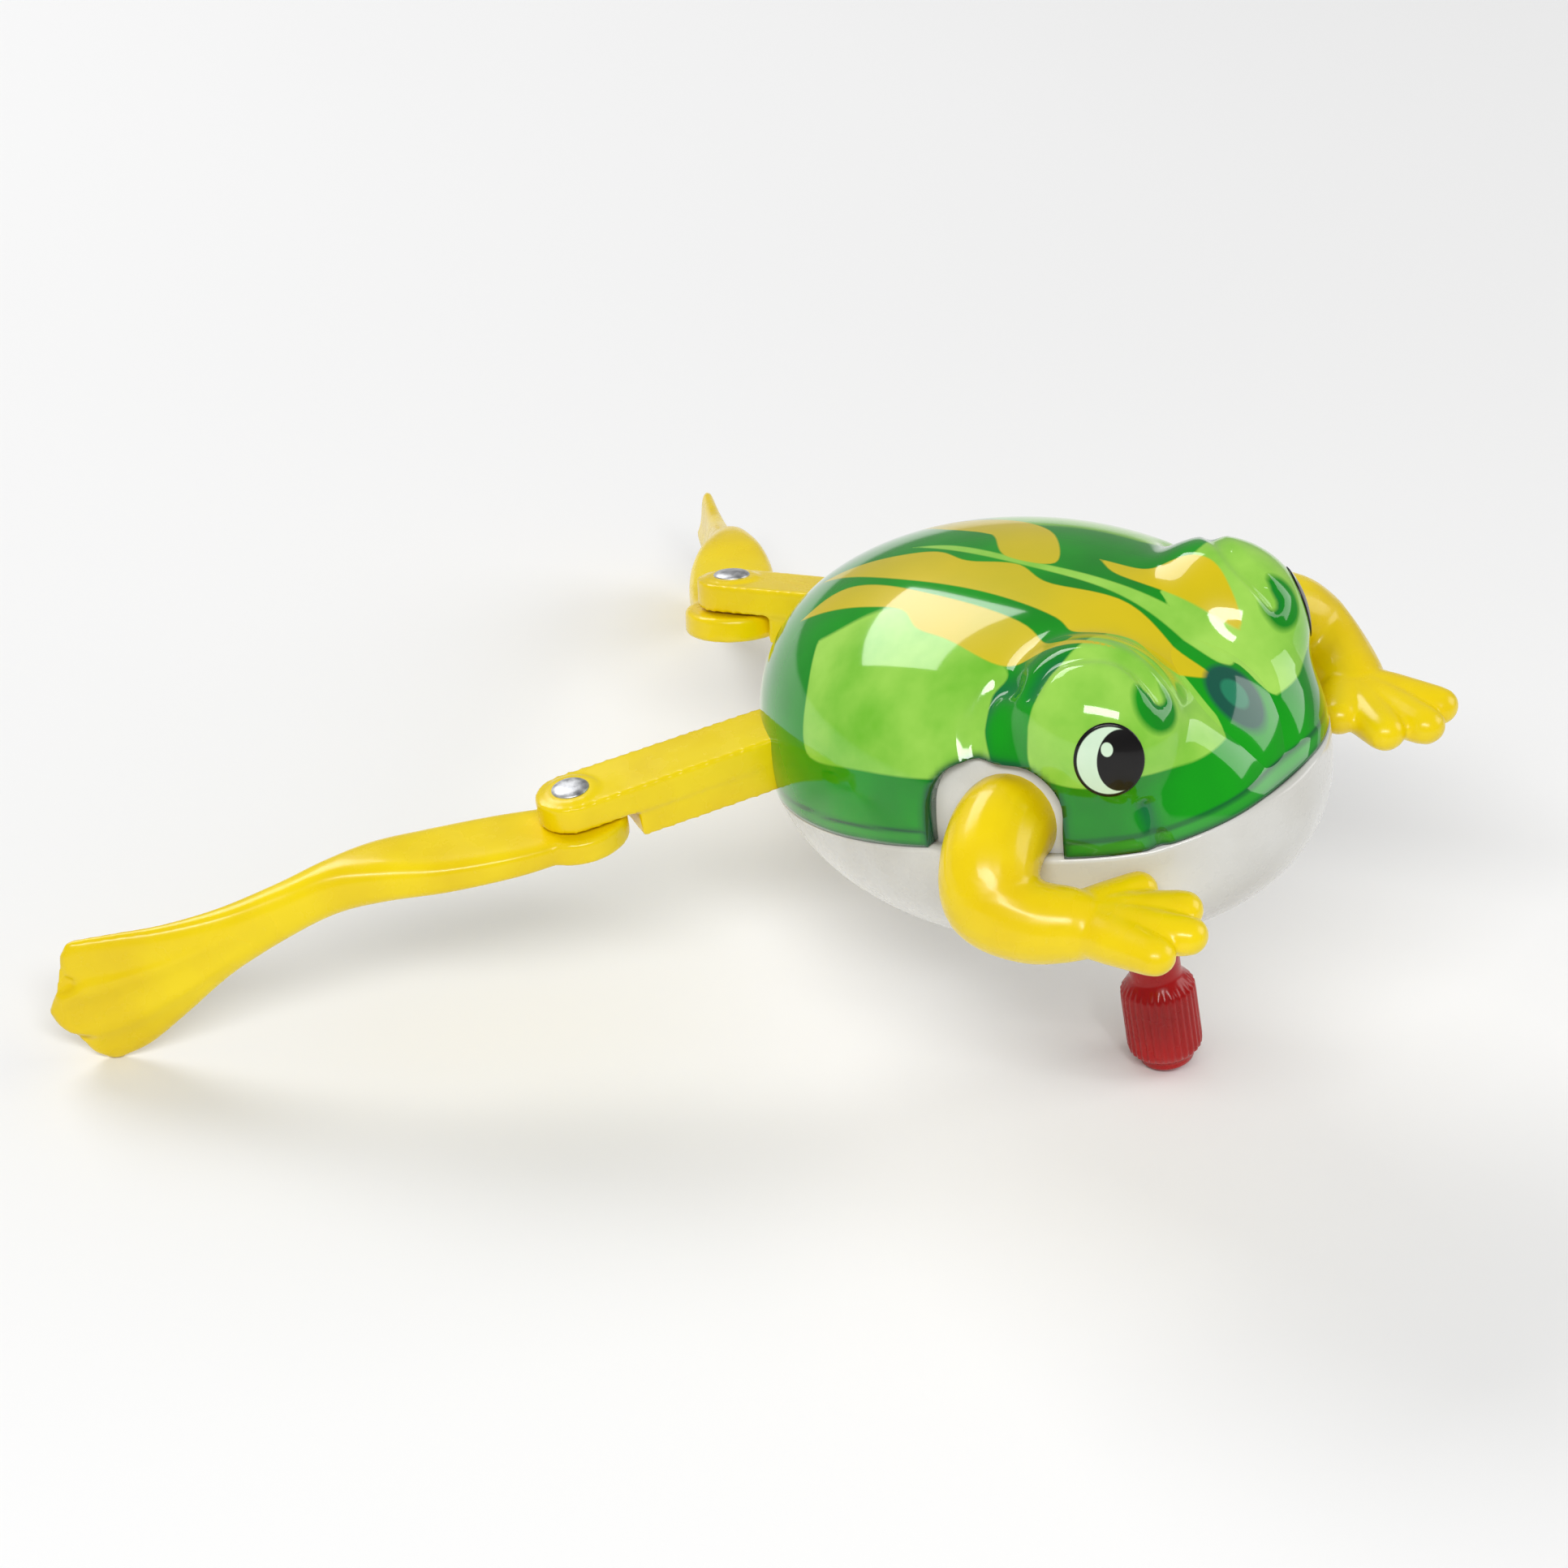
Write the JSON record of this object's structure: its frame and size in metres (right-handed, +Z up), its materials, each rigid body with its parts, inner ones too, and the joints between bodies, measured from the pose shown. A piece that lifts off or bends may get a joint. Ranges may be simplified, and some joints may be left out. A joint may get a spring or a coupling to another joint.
{
  "type": "wind-up swimming frog toy",
  "caption": "Clockwork bath toy frog: two-part egg-shaped body, jointed kicking hind legs, posable webbed forelegs and a winding knob under the chest.",
  "frame": {"origin": "centre of the bottom of the bounding box, on the floor under the frog as it stands on its winding knob and the tips of its hind feet", "axes": "+Z up from the floor. The nose points to -Y, the tail to +Y, and the left side is at +X. The body stands nose-up by about ten degrees and leans a few degrees to its right"},
  "size_m": [0.1168, 0.111, 0.0567],
  "materials": {
    "green_shell": "glossy translucent moulding",
    "milky_shell": "milky translucent moulding",
    "yellow": "glossy moulding",
    "red": "ribbed moulding",
    "print": "printed eye",
    "gear_plastic": "moulded",
    "motor_plastic": "moulded",
    "steel": "turned",
    "spring_steel": "rolled strip",
    "seal": "matt"
  },
  "bodies": {
    "body": {"lower_shell": "milky_shell", "upper_shell": "green_shell", "shaft_seal": "seal", "motor_base": "motor_plastic", "motor_top_plate": "motor_plastic", "motor_screw_1": "steel", "motor_screw_2": "steel", "motor_screw_3": "steel", "motor_screw_4": "steel", "mainspring": "spring_steel", "right_eye_decal": "print", "left_eye_decal": "print", "right_hip_pin": "steel", "left_hip_pin": "steel", "idler_axle": "steel", "governor_axle": "steel"},
    "winder": {"winding_shaft": "steel", "winding_knob": "red", "great_gear": "gear_plastic"},
    "idler": {"idler_gear": "gear_plastic"},
    "crank": {"crank_gear": "gear_plastic", "crank_disc": "gear_plastic", "crank_shaft": "steel"},
    "governor": {"governor_wheel": "gear_plastic"},
    "yoke": {"drive_yoke": "yellow"},
    "right_upper_leg": {"right_thigh": "yellow", "right_knee_pin": "steel"},
    "right_lower_leg": {"right_shank": "yellow"},
    "right_foreleg": {"right_arm": "yellow", "right_shoulder_ring": "gear_plastic"},
    "left_upper_leg": {"left_thigh": "yellow", "left_knee_pin": "steel"},
    "left_lower_leg": {"left_shank": "yellow"},
    "left_foreleg": {"left_arm": "yellow", "left_shoulder_ring": "gear_plastic"}
  },
  "joints": [
    {"name": "winder_turn", "type": "hinge", "parent": "body", "child": "winder", "pos_m": [0.0163, -0.03506, 0.0161], "axis": [-0.1188, 0.1804, 0.9764], "continuous": true},
    {"name": "idler_turn", "type": "hinge", "parent": "body", "child": "idler", "pos_m": [0.01474, -0.02319, 0.02805], "axis": [-0.1188, 0.1804, 0.9764], "continuous": true},
    {"name": "crank_turn", "type": "hinge", "parent": "body", "child": "crank", "pos_m": [0.01459, -0.01447, 0.02847], "axis": [-0.1188, 0.1804, 0.9764], "continuous": true},
    {"name": "governor_turn", "type": "hinge", "parent": "body", "child": "governor", "pos_m": [0.00907, -0.0188, 0.0245], "axis": [-0.1188, 0.1804, 0.9764], "continuous": true},
    {"name": "right_hip", "type": "hinge", "parent": "body", "child": "right_upper_leg", "pos_m": [0.00225, -0.00105, 0.02941], "axis": [0.1992, -0.3696, -0.9076], "range_deg": [0, 76.3]},
    {"name": "left_hip", "type": "hinge", "parent": "body", "child": "left_upper_leg", "pos_m": [0.02608, -0.00079, 0.03226], "axis": [0.0286, -0.3715, -0.928], "range_deg": [0, 76.31]},
    {"name": "yoke_slide", "type": "slide", "parent": "body", "child": "yoke", "axis": [-0.9929, -0.0108, -0.1188], "range_m": [0, 0.00673]},
    {"name": "right_knee", "type": "hinge", "parent": "right_upper_leg", "child": "right_lower_leg", "pos_m": [-0.01881, 0.01036, 0.02474], "axis": [-0.1188, 0.1804, 0.9764], "range_deg": [-6, 74]},
    {"name": "left_knee", "type": "hinge", "parent": "left_upper_leg", "child": "left_lower_leg", "pos_m": [0.02047, 0.02244, 0.02728], "axis": [-0.1403, -0.2396, -0.9607], "range_deg": [-74, 6]},
    {"name": "right_shoulder", "type": "hinge", "parent": "body", "child": "right_foreleg", "pos_m": [-0.00531, -0.0321, 0.03648], "axis": [0.9929, 0.0108, 0.1188], "range_deg": [-40, 3]},
    {"name": "left_shoulder", "type": "hinge", "parent": "body", "child": "left_foreleg", "pos_m": [0.03242, -0.03169, 0.04099], "axis": [0.9929, 0.0108, 0.1188], "range_deg": [-40, 3]}
  ],
  "couplings": [
    {"joint": "idler_turn", "follows": "winder_turn", "ratio": -3.75},
    {"joint": "crank_turn", "follows": "winder_turn", "ratio": 12.188},
    {"joint": "governor_turn", "follows": "winder_turn", "ratio": -30.469},
    {"joint": "left_hip", "follows": "right_hip", "ratio": 1},
    {"joint": "yoke_slide", "follows": "right_hip", "m_per_rad": 0.005046}
  ]
}
